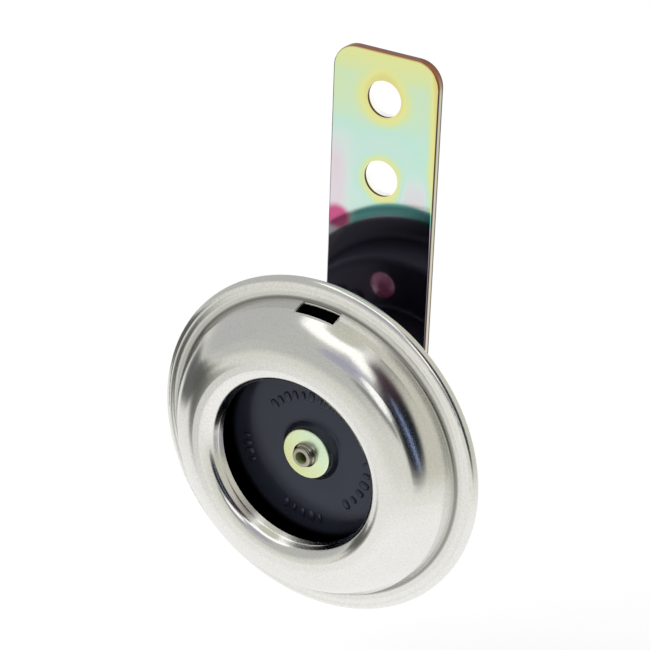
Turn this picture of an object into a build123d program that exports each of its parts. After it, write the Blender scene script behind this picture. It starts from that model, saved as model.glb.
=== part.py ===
from build123d import *
import os
from math import cos, radians, sin, sqrt, tan

# Disc horn for a vehicle, with the strap bracket it hangs from. Millimetres: +X is to the right of
# someone looking into the mouth, +Y points to the back and +Z is up. The origin is the middle
# between the strap's two bolt holes, on the strap's rear face. The sound leaves along -Y.

# Driving dimensions
RIM_R = 34.85  # outside radius of the folded rim
RIM_TO_STRAP = 19.8  # from the middle of the rim back to the strap's front face
STRAP_THICK = 2.0
STRAP_WIDTH = 22.5
HOLE_SPACING = 16.0  # between the strap's bolt holes
HOLE_R = 3.6  # for an M6 or M7 bolt
UPPER_HOLE_UP = 64.5  # above the horn's axis
STUD_R = 4.0  # M8
RUNNING = 0.05  # radial clearance of a screw, rivet or shank in its hole
LOOSE = 0.2  # radial clearance of a punched hole on the stud

# Where the horn's axis passes, seen from the origin
AXIS_Z = -(UPPER_HOLE_UP - HOLE_SPACING / 2)
RIM_Y = -STRAP_THICK - RIM_TO_STRAP
HORN_AXIS = Axis((0, RIM_Y, AXIS_Z), (0, -1, 0))

# A half section through the horn: local x is the radius, local y points to the front
SECTION = Plane(origin=(0, RIM_Y, AXIS_Z), x_dir=(1, 0, 0), z_dir=(0, 0, -1))


def face_at(forward):
    """Plane square to the horn's axis, this far in front of the rim's middle, x right and y up."""
    return Plane(origin=(0, RIM_Y - forward, AXIS_Z), x_dir=(1, 0, 0), z_dir=(0, -1, 0))


def point_at(right, up, forward):
    """Place in space of a point given from the horn's axis and the rim's middle."""
    return (right, RIM_Y - forward, AXIS_Z + up)


# The pack of sheets inside the folded rim, from the front
COVER_SHEET = 0.5
GASKET_THICK = 0.2
DIAPHRAGM_SHEET = 0.3
HOUSING_SHEET = 0.6
BRIM_FRONT = 1.15
FOLD_RADIUS = 1.14
FRONT_GASKET_FRONT = BRIM_FRONT - COVER_SHEET
DIAPHRAGM_EDGE_FRONT = FRONT_GASKET_FRONT - GASKET_THICK
REAR_GASKET_FRONT = DIAPHRAGM_EDGE_FRONT - DIAPHRAGM_SHEET
HOUSING_FLANGE_FRONT = REAR_GASKET_FRONT - GASKET_THICK
HOUSING_FLANGE_BACK = HOUSING_FLANGE_FRONT - HOUSING_SHEET
FOLD_BACK = HOUSING_FLANGE_BACK - COVER_SHEET
PACK_R = RIM_R - FOLD_RADIUS  # edge of the sheets, clear of the bends of the fold
GASKET_WIDTH = 2.3
pack_inner_r = PACK_R - GASKET_WIDTH

# Front cover
FOLD_WIDTH = 2.3  # of the edge turned in behind the pack
FOLD_BACK_RADIUS = 1.1
BRIM_WIDTH = 4.1
BRIM_RADIUS = 1.0
FOOT_DRAFT = 0.85  # the foot of the dome is a short steep wall
FOOT_TOP = 4.15
FOOT_RADIUS = 0.75
CREST = 10.8
DOME_SLOPE = 52.9
DOME_RADIUS = 6.7
DOME_WIDTH = 12.6  # from the foot in to the mouth
LIP_RADIUS = 2.8
LIP_END = 6.6
SLOT_WIDTH = 8.2
SLOT_RIGHT = 1.1
SLOT_BACK = 0.32  # in front of the brim, and in front of the foot's corner
SLOT_FRONT = 0.25

foot_base_r = RIM_R - BRIM_WIDTH
foot_top_r = foot_base_r - FOOT_DRAFT
mouth_r = foot_top_r - DOME_WIDTH
dome_corner_r = foot_top_r - (CREST - FOOT_TOP) / tan(radians(DOME_SLOPE))
slot_back = BRIM_FRONT + SLOT_BACK
slot_front = FOOT_TOP + SLOT_FRONT

with BuildPart() as front_cover:
    with BuildSketch(SECTION):
        with BuildLine():
            FilletPolyline(
                (mouth_r, LIP_END),
                (mouth_r, CREST),
                (dome_corner_r, CREST),
                (foot_top_r, FOOT_TOP),
                (foot_base_r, BRIM_FRONT),
                (RIM_R, BRIM_FRONT),
                (RIM_R, FOLD_BACK),
                (RIM_R - FOLD_WIDTH, FOLD_BACK),
                radius=(LIP_RADIUS, DOME_RADIUS, FOOT_RADIUS, BRIM_RADIUS, FOLD_RADIUS, FOLD_BACK_RADIUS),
            )
            offset(amount=COVER_SHEET, side=Side.RIGHT)
        make_face()
    revolve(axis=HORN_AXIS)
    # Drain slot, punched square to the axis through the steep foot of the dome
    with BuildSketch(Plane.XY.offset(AXIS_Z + mouth_r + LIP_RADIUS)):
        with Locations((SLOT_RIGHT, RIM_Y - (slot_back + slot_front) / 2)):
            Rectangle(SLOT_WIDTH, slot_front - slot_back)
    extrude(amount=DOME_WIDTH, mode=Mode.SUBTRACT)

# Diaphragm, its gaskets and its washers
DISH_MARGIN = 1.9  # from the gaskets in to the dish
DISH_RUN = 1.6
FLOOR_FRONT = 1.8
BOSS_BASE_R = 6.2
BOSS_R = 5.2
BOSS_FRONT = 3.1
SHANK_R = 2.0
WASHER_R = 5.15
WASHER_THICK = 1.0
REAR_WASHER_R = 4.2
REAR_WASHER_THICK = 0.8
dish_r = pack_inner_r - DISH_MARGIN
floor_r = dish_r - DISH_RUN

with BuildPart() as diaphragm:
    with BuildSketch(SECTION):
        with BuildLine():
            FilletPolyline(
                (SHANK_R + RUNNING, BOSS_FRONT),
                (BOSS_R, BOSS_FRONT),
                (BOSS_BASE_R, FLOOR_FRONT),
                (floor_r, FLOOR_FRONT),
                (dish_r, DIAPHRAGM_EDGE_FRONT),
                (PACK_R, DIAPHRAGM_EDGE_FRONT),
                radius=(0.5, 0.8, 1.5, 1.5),
            )
            offset(amount=DIAPHRAGM_SHEET, side=Side.RIGHT)
        make_face()
    revolve(axis=HORN_AXIS)

with BuildPart() as front_gasket:
    with BuildSketch(face_at(DIAPHRAGM_EDGE_FRONT)):
        Circle(PACK_R)
        Circle(pack_inner_r, mode=Mode.SUBTRACT)
    extrude(amount=GASKET_THICK)

with BuildPart() as rear_gasket:
    with BuildSketch(face_at(HOUSING_FLANGE_FRONT)):
        Circle(PACK_R)
        Circle(pack_inner_r, mode=Mode.SUBTRACT)
    extrude(amount=GASKET_THICK)

with BuildPart() as front_washer:
    with BuildSketch(face_at(BOSS_FRONT)):
        Circle(WASHER_R)
        Circle(SHANK_R + RUNNING, mode=Mode.SUBTRACT)
    extrude(amount=WASHER_THICK)
    fillet(front_washer.faces().sort_by(Axis.Y)[0].edges().sort_by(SortBy.LENGTH)[-1], 0.3)

with BuildPart() as rear_washer:
    with BuildSketch(face_at(BOSS_FRONT - DIAPHRAGM_SHEET - REAR_WASHER_THICK)):
        Circle(REAR_WASHER_R)
        Circle(SHANK_R + RUNNING, mode=Mode.SUBTRACT)
    extrude(amount=REAR_WASHER_THICK)

# Rear housing: a cup drawn in two tiers, with a raised seat round the stud
TIER_MARGIN = 1.2  # from the dish of the diaphragm in to the outer tier
TIER_DRAFT = 1.4
TIER_BACK = -9.6
RING_WIDTH = 10.31  # between the walls of the outer tier and the inner tier, which holds the coil
CORE_TIER_DRAFT = 0.6
BACK_FACE = -17.6
SEAT_R = 9.6
SEAT_DRAFT = 0.6
SEAT_RISE = 1.0
tier_r = dish_r - TIER_MARGIN
tier_back_r = tier_r - TIER_DRAFT
core_tier_r = tier_back_r - RING_WIDTH
seat_back = BACK_FACE - SEAT_RISE
tier_floor = TIER_BACK + HOUSING_SHEET
core_floor = BACK_FACE + HOUSING_SHEET
seat_floor = seat_back + HOUSING_SHEET

# What is fixed through the floor of the outer tier: the adjusting screw, the contact stack below it
# and the terminals at the bottom
SCREW_RIGHT = -4.4
SCREW_R = 2.0
SCREW_MARGIN = 2.0  # from the bush's flange to the tier's wall
BUSH_R = 2.6
BUSH_FLANGE_R = 3.1
ARM_WIDTH = 3.5
ARM_CLEARANCE = 0.5
STACK_RIVET_R = 1.1
STACK_MIDDLE = -12.0
STACK_PITCH = 3.4
INSULATOR_MARGIN = 1.2  # from either tier's wall
TERMINAL_RIGHT = 6.0
COLLAR_R = 2.5  # of the insulator, through the housing
screw_from_axis = tier_back_r - HOUSING_SHEET - BUSH_FLANGE_R - SCREW_MARGIN
screw_up = sqrt(screw_from_axis**2 - SCREW_RIGHT**2)
screw_place = (SCREW_RIGHT, screw_up)
arm_high = screw_up - SCREW_R - ARM_CLEARANCE
arm_low = arm_high - ARM_WIDTH
arm_middle = (arm_low + arm_high) / 2
stack_rivets = [(STACK_MIDDLE + side * STACK_PITCH / 2, arm_middle) for side in (-1, 1)]
insulator_inner_r = core_tier_r + INSULATOR_MARGIN
insulator_outer_r = tier_back_r - INSULATOR_MARGIN
terminal_up = -sqrt(((insulator_inner_r + insulator_outer_r) / 2) ** 2 - TERMINAL_RIGHT**2)
terminal_places = [(side * TERMINAL_RIGHT, terminal_up) for side in (-1, 1)]

with BuildPart() as housing:
    with BuildSketch(SECTION):
        with BuildLine():
            FilletPolyline(
                (PACK_R, HOUSING_FLANGE_BACK),
                (tier_r, HOUSING_FLANGE_BACK),
                (tier_back_r, TIER_BACK),
                (core_tier_r, TIER_BACK),
                (core_tier_r - CORE_TIER_DRAFT, BACK_FACE),
                (SEAT_R, BACK_FACE),
                (SEAT_R - SEAT_DRAFT, seat_back),
                (STUD_R + LOOSE, seat_back),
                radius=(1.0, 1.7, 0.8, 1.8, 0.4, 0.8),
            )
            offset(amount=HOUSING_SHEET, side=Side.RIGHT)
        make_face()
    revolve(axis=HORN_AXIS)
    with BuildSketch(face_at(TIER_BACK)):
        with Locations(*terminal_places):
            Circle(COLLAR_R + RUNNING)
        with Locations(screw_place):
            Circle(BUSH_R + RUNNING)
        with Locations(*stack_rivets):
            Circle(STACK_RIVET_R + RUNNING)
    extrude(amount=HOUSING_SHEET, mode=Mode.SUBTRACT)

# Pole core, turned in one piece with the stud
CORE_R = 6.0
CORE_FRONT = -5.0
CORE_FLANGE = 2.0  # beyond the core
CORE_CHAMFER = 0.5
STUD_BACK = -31.6
STUD_CHAMFER = 0.8
core_flange_r = CORE_R + CORE_FLANGE

with BuildPart() as pole_core:
    with BuildSketch(SECTION):
        with BuildLine():
            Polyline(
                (0, CORE_FRONT),
                (CORE_R - CORE_CHAMFER, CORE_FRONT),
                (CORE_R, CORE_FRONT - CORE_CHAMFER),
                (CORE_R, core_floor),
                (core_flange_r, core_floor),
                (core_flange_r, seat_floor),
                (STUD_R, seat_floor),
                (STUD_R, STUD_BACK + STUD_CHAMFER),
                (STUD_R - STUD_CHAMFER, STUD_BACK),
                (0, STUD_BACK),
                close=True,
            )
        make_face()
    revolve(axis=HORN_AXIS)

# Coil
BOBBIN_FRONT = -6.5
BOBBIN_FLANGE = 1.0
BOBBIN_MARGIN = 1.4  # from the wall of the inner tier
BOBBIN_TUBE = 1.2  # thickness round the core
WINDING_MARGIN = 0.6  # from the edge of the flanges in to the winding
LEAD_R = 0.5
LIVE_LEAD_LEFT = -3.8
LIVE_LEAD_MARGIN = 2.8  # up from the bottom of the flange
COIL_LEAD_MARGIN = 3.6  # in from the left of the flange
COIL_LEAD_UP = 5.6
bobbin_r = core_tier_r - CORE_TIER_DRAFT - HOUSING_SHEET - BOBBIN_MARGIN
winding_r = bobbin_r - WINDING_MARGIN
tube_r = CORE_R + LOOSE + BOBBIN_TUBE
# Where each lead goes down through the flange to the winding
live_lead_end = (LIVE_LEAD_LEFT, LIVE_LEAD_MARGIN - bobbin_r)
coil_lead_end = (COIL_LEAD_MARGIN - bobbin_r, COIL_LEAD_UP)

with BuildPart() as coil_bobbin:
    with BuildSketch(SECTION):
        with BuildLine():
            Polyline(
                (CORE_R + LOOSE, core_floor),
                (bobbin_r, core_floor),
                (bobbin_r, core_floor + BOBBIN_FLANGE),
                (tube_r, core_floor + BOBBIN_FLANGE),
                (tube_r, BOBBIN_FRONT - BOBBIN_FLANGE),
                (bobbin_r, BOBBIN_FRONT - BOBBIN_FLANGE),
                (bobbin_r, BOBBIN_FRONT),
                (CORE_R + LOOSE, BOBBIN_FRONT),
                close=True,
            )
        make_face()
    revolve(axis=HORN_AXIS)
    with BuildSketch(face_at(BOBBIN_FRONT)):
        with Locations(live_lead_end, coil_lead_end):
            Circle(LEAD_R + LOOSE)
    extrude(amount=-BOBBIN_FLANGE, mode=Mode.SUBTRACT)

with BuildPart() as coil_winding:
    with BuildSketch(face_at(core_floor + BOBBIN_FLANGE)):
        Circle(winding_r)
        Circle(tube_r, mode=Mode.SUBTRACT)
    extrude(amount=BOBBIN_FRONT - core_floor - 2 * BOBBIN_FLANGE)

# Armature: plate, neck and the tubular end that is staked over the front washer
PLATE_MARGIN = 2.0  # from the edge of the coil's flange in to the plate
PLATE_BACK = -4.3
PLATE_THICK = 2.6
NECK_R = 4.0
STAKE_R = 2.5
STAKE_STEP = 0.5
TUBE_END_R = 2.0
TUBE_FRONT = 5.8
TUBE_BORE_R = 1.2
TUBE_BORE_DEPTH = 3.5
plate_r = bobbin_r - PLATE_MARGIN
neck_front = BOSS_FRONT - DIAPHRAGM_SHEET - REAR_WASHER_THICK
stake_back = BOSS_FRONT + WASHER_THICK

with BuildPart() as armature:
    with BuildSketch(SECTION):
        with BuildLine():
            FilletPolyline(
                (0, PLATE_BACK),
                (plate_r, PLATE_BACK),
                (plate_r, PLATE_BACK + PLATE_THICK),
                (NECK_R, PLATE_BACK + PLATE_THICK),
                (NECK_R, neck_front),
                (SHANK_R, neck_front),
                (SHANK_R, stake_back),
                (STAKE_R, stake_back),
                (STAKE_R, stake_back + STAKE_STEP),
                (TUBE_END_R, stake_back + 2 * STAKE_STEP),
                (TUBE_END_R, TUBE_FRONT),
                (0, TUBE_FRONT),
                radius=(0.3, 0.3, 0, 0, 0, 0, 0, 0.25, 0.15, 0.3),
            )
            Line((0, TUBE_FRONT), (0, PLATE_BACK))
        make_face()
    revolve(axis=HORN_AXIS)
    with BuildSketch(face_at(TUBE_FRONT)):
        Circle(TUBE_BORE_R)
    extrude(amount=-TUBE_BORE_DEPTH, mode=Mode.SUBTRACT)

# Contact stack, riveted through the floor of the outer tier
STACK_LENGTH = 7.0
STACK_MARGIN_LOW = 0.5  # beyond the arms
STACK_MARGIN_HIGH = 0.9
STACK_BACK = -6.0
LOWER_INSULATOR = 1.0
MOVING_ARM = 0.4
MIDDLE_INSULATOR = 1.2
FIXED_ARM = 0.8
UPPER_INSULATOR = 0.7
STACK_HEAD_R = 1.7
STACK_HEAD = 0.7
CONTACT_RIGHT = 4.5
CONTACT_R = 1.4
stack_left = STACK_MIDDLE - STACK_LENGTH / 2
stack_low = arm_low - STACK_MARGIN_LOW
stack_high = arm_high + STACK_MARGIN_HIGH
moving_arm_back = STACK_BACK + LOWER_INSULATOR
moving_arm_front = moving_arm_back + MOVING_ARM
fixed_arm_back = moving_arm_front + MIDDLE_INSULATOR
fixed_arm_front = fixed_arm_back + FIXED_ARM
stack_front = fixed_arm_front + UPPER_INSULATOR
contact_place = (CONTACT_RIGHT, arm_middle)


def stack_plate(back, thickness):
    """Plate of the contact stack, drilled for its rivets."""
    with BuildPart() as plate:
        with BuildSketch(face_at(back)):
            with Locations((STACK_MIDDLE, (stack_low + stack_high) / 2)):
                Rectangle(STACK_LENGTH, stack_high - stack_low)
            with Locations(*stack_rivets):
                Circle(STACK_RIVET_R + RUNNING, mode=Mode.SUBTRACT)
        extrude(amount=thickness)
    return plate


contact_block = stack_plate(tier_floor, STACK_BACK - tier_floor)
lower_insulator = stack_plate(STACK_BACK, LOWER_INSULATOR)
middle_insulator = stack_plate(moving_arm_front, MIDDLE_INSULATOR)
upper_insulator = stack_plate(fixed_arm_front, UPPER_INSULATOR)

TAIL_LENGTH = 3.0
TAIL_WIDTH = 2.6
TONGUE_HALF = 2.0
TONGUE_LAP = 2.5  # under the edge of the armature's plate
ARM_END = 6.5
tail_left = stack_left - TAIL_LENGTH
tongue_low = plate_r - TONGUE_LAP

with BuildPart() as moving_contact_arm:
    with BuildSketch(face_at(moving_arm_back)):
        with BuildLine():
            Polyline(
                (tail_left, arm_middle - TAIL_WIDTH / 2),
                (stack_left, arm_middle - TAIL_WIDTH / 2),
                (stack_left, arm_low),
                (-TONGUE_HALF, arm_low),
                (-TONGUE_HALF, tongue_low),
                (TONGUE_HALF, tongue_low),
                (TONGUE_HALF, arm_low),
                (ARM_END, arm_low),
                (ARM_END, arm_high),
                (stack_left, arm_high),
                (stack_left, arm_middle + TAIL_WIDTH / 2),
                (tail_left, arm_middle + TAIL_WIDTH / 2),
                close=True,
            )
        make_face()
        with Locations(*stack_rivets):
            Circle(STACK_RIVET_R + RUNNING, mode=Mode.SUBTRACT)
    extrude(amount=MOVING_ARM)

TAB_HALF = 2.6
TAB_RISE = 2.2
TAG_LENGTH = 4.0
tag_end = ARM_END + TAG_LENGTH

with BuildPart() as fixed_contact_arm:
    with BuildSketch(face_at(fixed_arm_back)):
        with BuildLine():
            Polyline(
                (stack_left, arm_low),
                (tag_end, arm_low),
                (tag_end, arm_low + TAIL_WIDTH),
                (ARM_END, arm_high),
                (SCREW_RIGHT + TAB_HALF, arm_high),
                (SCREW_RIGHT + TAB_HALF, screw_up + TAB_RISE),
                (SCREW_RIGHT - TAB_HALF, screw_up + TAB_RISE),
                (SCREW_RIGHT - TAB_HALF, arm_high),
                (stack_left, arm_high),
                close=True,
            )
        make_face()
        with Locations(*stack_rivets):
            Circle(STACK_RIVET_R + RUNNING, mode=Mode.SUBTRACT)
    extrude(amount=FIXED_ARM)

with BuildPart() as contact_rivets:
    with BuildSketch(face_at(TIER_BACK)):
        with Locations(*stack_rivets):
            Circle(STACK_HEAD_R)
    extrude(amount=-STACK_HEAD, taper=25)
    with BuildSketch(face_at(TIER_BACK)):
        with Locations(*stack_rivets):
            Circle(STACK_RIVET_R)
    extrude(amount=stack_front - TIER_BACK)
    with BuildSketch(face_at(stack_front)):
        with Locations(*stack_rivets):
            Circle(STACK_HEAD_R)
    extrude(amount=STACK_HEAD, taper=25)


def contact_button(back):
    """Round contact, half as thick as the space between the two arms."""
    with BuildPart() as button:
        with BuildSketch(face_at(back)):
            with Locations(contact_place):
                Circle(CONTACT_R)
        extrude(amount=MIDDLE_INSULATOR / 2)
    return button


moving_contact = contact_button(moving_arm_front)
fixed_contact = contact_button(fixed_arm_back - MIDDLE_INSULATOR / 2)

# Adjusting screw in its threaded bush, sealed with lacquer after setting
SCREW_HEAD_R = 2.1
SCREW_HEAD = 0.7
SCREW_SLOT = 0.6
SCREW_TIP = 0.5
BUSH_FLANGE = 2.0
SEAL_R = 2.8
SEAL_HEIGHT = 1.5
SEAL_POCKET_R = SCREW_HEAD_R + 0.02
SEAL_POCKET = SCREW_HEAD + 0.02

with BuildPart() as screw_bush:
    with BuildSketch(face_at(TIER_BACK)):
        with Locations(screw_place):
            Circle(BUSH_R)
    extrude(amount=HOUSING_SHEET)
    with BuildSketch(face_at(tier_floor)):
        with Locations(screw_place):
            Circle(BUSH_FLANGE_R)
    extrude(amount=BUSH_FLANGE)
    with BuildSketch(face_at(TIER_BACK)):
        with Locations(screw_place):
            Circle(SCREW_R + RUNNING)
    extrude(amount=HOUSING_SHEET + BUSH_FLANGE, mode=Mode.SUBTRACT)

with BuildPart() as adjusting_screw:
    with BuildSketch(face_at(TIER_BACK - SCREW_HEAD)):
        with Locations(screw_place):
            Circle(SCREW_HEAD_R)
    extrude(amount=SCREW_HEAD)
    with BuildSketch(face_at(TIER_BACK)):
        with Locations(screw_place):
            Circle(SCREW_R)
    extrude(amount=fixed_arm_back - TIER_BACK)
    chamfer(adjusting_screw.faces().sort_by(Axis.Y)[0].edges(), SCREW_TIP)
    with BuildSketch(face_at(TIER_BACK - SCREW_HEAD)):
        with Locations(screw_place):
            Rectangle(2 * SCREW_HEAD_R, SCREW_SLOT)
    extrude(amount=SCREW_HEAD / 2, mode=Mode.SUBTRACT)

screw_mouth = point_at(*screw_place, TIER_BACK)

with BuildPart() as screw_seal:
    with BuildSketch(Plane(origin=screw_mouth, x_dir=(1, 0, 0), z_dir=(0, 0, 1))):
        with BuildLine():
            Polyline(
                (0, SEAL_HEIGHT),
                (0, SEAL_POCKET),
                (SEAL_POCKET_R, SEAL_POCKET),
                (SEAL_POCKET_R, 0),
                (SEAL_R, 0),
            )
            RadiusArc((0, SEAL_HEIGHT), (SEAL_R, 0), (SEAL_R**2 + SEAL_HEIGHT**2) / (2 * SEAL_HEIGHT))
        make_face()
    revolve(axis=Axis(screw_mouth, (0, 1, 0)))

# Terminals, on an insulator that follows the bottom of the outer tier
INSULATOR_SPAN = 64.0  # degrees
INSULATOR_CORNER = 1.2
OUTER_INSULATOR = 2.0
INNER_INSULATOR = 1.0
INNER_MARGIN = 0.6
BLADE_WIDTH = 6.3
BLADE_THICK = 0.8
FOOT_BELOW = 3.4  # of the blade's foot, below the rivet
FOOT_LENGTH = 6.3
BLADE_LENGTH = 9.0
BLADE_HOLE_R = 0.8
BLADE_HOLE_IN = 3.0
TERMINAL_RIVET_R = 1.5
TERMINAL_HEAD_R = 2.3
TERMINAL_HEAD = 0.8
blade_low = terminal_up - FOOT_BELOW
outer_insulator_back = TIER_BACK - OUTER_INSULATOR
blade_foot_back = outer_insulator_back - BLADE_THICK
blade_tip = blade_foot_back - BLADE_LENGTH
inner_insulator_front = tier_floor + INNER_INSULATOR


def insulator_outline(inner_r, outer_r, span):
    """Ring sector centred on the bottom of the horn, drawn in the sketch that is open."""
    with BuildSketch() as sector:
        Circle(outer_r)
        Circle(inner_r, mode=Mode.SUBTRACT)
        half = radians(span / 2)
        reach = 2 * outer_r
        with BuildLine():
            Polyline((0, 0), (reach * sin(half), -reach * cos(half)), (-reach * sin(half), -reach * cos(half)), close=True)
        make_face(mode=Mode.INTERSECT)
        fillet(sector.vertices(), INSULATOR_CORNER)
    return sector.sketch


outer_outline = insulator_outline(insulator_inner_r, insulator_outer_r, INSULATOR_SPAN)
inner_outline = insulator_outline(
    insulator_inner_r + INNER_MARGIN, insulator_outer_r - INNER_MARGIN, INSULATOR_SPAN - 4
)

with BuildPart() as outer_terminal_insulator:
    with BuildSketch(face_at(TIER_BACK)):
        add(outer_outline)
    extrude(amount=-OUTER_INSULATOR)
    chamfer(outer_terminal_insulator.faces().sort_by(Axis.Y)[-1].edges(), 0.4)
    with BuildSketch(face_at(TIER_BACK)):
        with Locations(*terminal_places):
            Circle(COLLAR_R)
    extrude(amount=HOUSING_SHEET)
    with BuildSketch(face_at(outer_insulator_back)):
        with Locations(*terminal_places):
            Circle(TERMINAL_RIVET_R + RUNNING)
    extrude(amount=OUTER_INSULATOR + HOUSING_SHEET, mode=Mode.SUBTRACT)

with BuildPart() as inner_terminal_insulator:
    with BuildSketch(face_at(tier_floor)):
        add(inner_outline)
        with Locations(*terminal_places):
            Circle(TERMINAL_RIVET_R + RUNNING, mode=Mode.SUBTRACT)
    extrude(amount=INNER_INSULATOR)


def blade_terminal(right):
    """Push-on blade: a foot riveted to the insulator and a blade bent straight back from it."""
    with BuildPart() as blade:
        with BuildSketch(face_at(blade_foot_back)):
            with Locations((right, blade_low + FOOT_LENGTH / 2)):
                Rectangle(BLADE_WIDTH, FOOT_LENGTH)
            with Locations((right, terminal_up)):
                Circle(TERMINAL_RIVET_R + RUNNING, mode=Mode.SUBTRACT)
        extrude(amount=BLADE_THICK)
        with BuildSketch(face_at(blade_foot_back)):
            with Locations((right, blade_low + BLADE_THICK / 2)):
                Rectangle(BLADE_WIDTH, BLADE_THICK)
        extrude(amount=-BLADE_LENGTH)
        chamfer(blade.edges().filter_by(Axis.Z).group_by(Axis.Y)[-1], 1.2)
        with BuildSketch(Plane.XY.offset(AXIS_Z + blade_low)):
            with Locations((right, RIM_Y - blade_tip - BLADE_HOLE_IN)):
                Circle(BLADE_HOLE_R)
        extrude(amount=BLADE_THICK, mode=Mode.SUBTRACT)
    return blade


left_terminal = blade_terminal(-TERMINAL_RIGHT)
right_terminal = blade_terminal(TERMINAL_RIGHT)

with BuildPart() as terminal_rivets:
    with BuildSketch(face_at(blade_foot_back)):
        with Locations(*terminal_places):
            Circle(TERMINAL_HEAD_R)
    extrude(amount=-TERMINAL_HEAD, taper=20)
    with BuildSketch(face_at(blade_foot_back)):
        with Locations(*terminal_places):
            Circle(TERMINAL_RIVET_R)
    extrude(amount=inner_insulator_front - blade_foot_back)
    with BuildSketch(face_at(inner_insulator_front)):
        with Locations(*terminal_places):
            Circle(TERMINAL_HEAD_R)
    extrude(amount=TERMINAL_HEAD)

# Insulated leads inside the housing
LEAD_LEVEL = -5.3  # over the coil
LEAD_LOW_LEVEL = -6.4  # past the end of the contact stack
LEAD_IN = 1.3  # from the end of a tail to the lead on it
tail_right = tail_left + LEAD_IN
tag_right = tag_end - LEAD_IN
LEAD_MARGIN = 5.5  # from the coil's flange to the lead that passes it
LEAD_TURN_HIGH = 9.0
LEAD_TURN_LOW = -10.0
lead_side = bobbin_r + LEAD_MARGIN
rivet_top = inner_insulator_front + TERMINAL_HEAD
winding_front = BOBBIN_FRONT - BOBBIN_FLANGE


def lead(points, bend):
    """Insulated wire along straight runs with round bends."""
    with BuildPart() as wire:
        with BuildLine() as route:
            FilletPolyline(*points, radius=bend)
        with BuildSketch(Plane(origin=route.wire() @ 0, z_dir=route.wire() % 0)):
            Circle(LEAD_R)
        sweep(path=route.wire())
    return wire


live_lead = lead(
    (
        point_at(-TERMINAL_RIGHT, terminal_up, rivet_top),
        point_at(-TERMINAL_RIGHT, terminal_up, LEAD_LEVEL),
        point_at(*live_lead_end, LEAD_LEVEL),
        point_at(*live_lead_end, winding_front),
    ),
    1.0,
)
coil_lead = lead(
    (
        point_at(tail_right, arm_middle, moving_arm_back),
        point_at(tail_right, arm_middle, LEAD_LOW_LEVEL),
        point_at(tail_right, LEAD_TURN_HIGH, LEAD_LOW_LEVEL),
        point_at(*coil_lead_end, LEAD_LEVEL),
        point_at(*coil_lead_end, winding_front),
    ),
    0.9,
)
return_lead = lead(
    (
        point_at(tag_right, arm_low + TAIL_WIDTH / 2, fixed_arm_back),
        point_at(tag_right, arm_low + TAIL_WIDTH / 2, LEAD_LEVEL),
        point_at(lead_side, LEAD_TURN_HIGH, LEAD_LEVEL),
        point_at(lead_side, LEAD_TURN_LOW, LEAD_LEVEL),
        point_at(TERMINAL_RIGHT, terminal_up, LEAD_LEVEL),
        point_at(TERMINAL_RIGHT, terminal_up, rivet_top),
    ),
    1.2,
)

# Strap bracket and what clamps it to the stud
STRAP_TOP = 73.5  # above the horn's axis
STRAP_CORNER = 4.8
STRAP_EDGE = 0.3
SPACER_R = 8.0
LOCK_R = 6.8
LOCK_THICK = 1.8
LOCK_GAP = 1.0
NUT_FLATS = 13.0
NUT_HEIGHT = 6.3
strap_front = -RIM_TO_STRAP
strap_back = strap_front - STRAP_THICK
lock_back = strap_back - LOCK_THICK
nut_back = lock_back - NUT_HEIGHT

with BuildPart() as spacer_washer:
    with BuildSketch(face_at(strap_front)):
        Circle(SPACER_R)
        Circle(STUD_R + LOOSE, mode=Mode.SUBTRACT)
    extrude(amount=seat_back - strap_front)

with BuildPart() as bracket:
    with BuildSketch(face_at(strap_back)) as strap_outline:
        with Locations((0, STRAP_TOP / 2)):
            Rectangle(STRAP_WIDTH, STRAP_TOP)
        fillet(strap_outline.vertices().group_by(Axis.Y)[-1], STRAP_CORNER)
        Circle(STRAP_WIDTH / 2)
    extrude(amount=STRAP_THICK)
    fillet(bracket.faces().filter_by(Axis.Y).edges(), STRAP_EDGE)
    with BuildSketch(face_at(strap_back)):
        Circle(STUD_R + LOOSE)
        with Locations((0, UPPER_HOLE_UP), (0, UPPER_HOLE_UP - HOLE_SPACING)):
            Circle(HOLE_R)
    extrude(amount=STRAP_THICK, mode=Mode.SUBTRACT)

with BuildPart() as lock_washer:
    with BuildSketch(face_at(lock_back)):
        Circle(LOCK_R)
        Circle(STUD_R + LOOSE, mode=Mode.SUBTRACT)
        with Locations((LOCK_R / 2, 0)):
            Rectangle(LOCK_R, LOCK_GAP, rotation=-12, align=(Align.MIN, Align.CENTER), mode=Mode.SUBTRACT)
    extrude(amount=LOCK_THICK)

with BuildPart() as stud_nut:
    with BuildSketch(face_at(nut_back)):
        RegularPolygon(NUT_FLATS / 2, 6, major_radius=False)
    extrude(amount=NUT_HEIGHT)
    # Corners turned off on both faces at 30 degrees
    with BuildSketch(SECTION):
        with BuildLine():
            corner_r = NUT_FLATS / 2 / cos(radians(30))
            turned = (corner_r - NUT_FLATS / 2) * tan(radians(30))
            Polyline(
                (STUD_R + RUNNING, nut_back),
                (NUT_FLATS / 2, nut_back),
                (corner_r, nut_back + turned),
                (corner_r, lock_back - turned),
                (NUT_FLATS / 2, lock_back),
                (STUD_R + RUNNING, lock_back),
                close=True,
            )
        make_face()
    revolve(axis=HORN_AXIS, mode=Mode.INTERSECT)

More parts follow.
